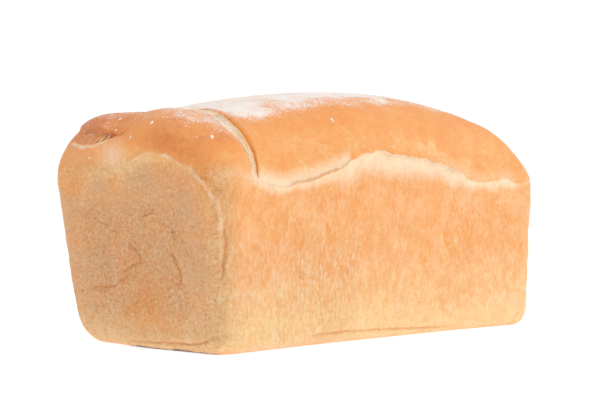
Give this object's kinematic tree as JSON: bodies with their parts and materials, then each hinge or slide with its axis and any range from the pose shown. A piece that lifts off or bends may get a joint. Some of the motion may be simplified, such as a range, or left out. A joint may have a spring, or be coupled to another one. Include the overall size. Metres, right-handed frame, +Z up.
{
  "type": "tin loaf",
  "caption": "Uncut white tin loaf with straight tin-baked walls, a long arched crown split across near one end, and a flat base to rest on.",
  "frame": {"origin": "middle of the loaf's box in plan, on the flat base that it stands on", "axes": "+X along the loaf, away from the end with the split and the rolled flap; +Y across the loaf, away from the side with the high tear line; +Z up"},
  "size_m": [0.2522, 0.1186, 0.1217],
  "materials": {
    "crust": null
  },
  "bodies": {
    "root": {"loaf": "crust"}
  },
  "joints": []
}
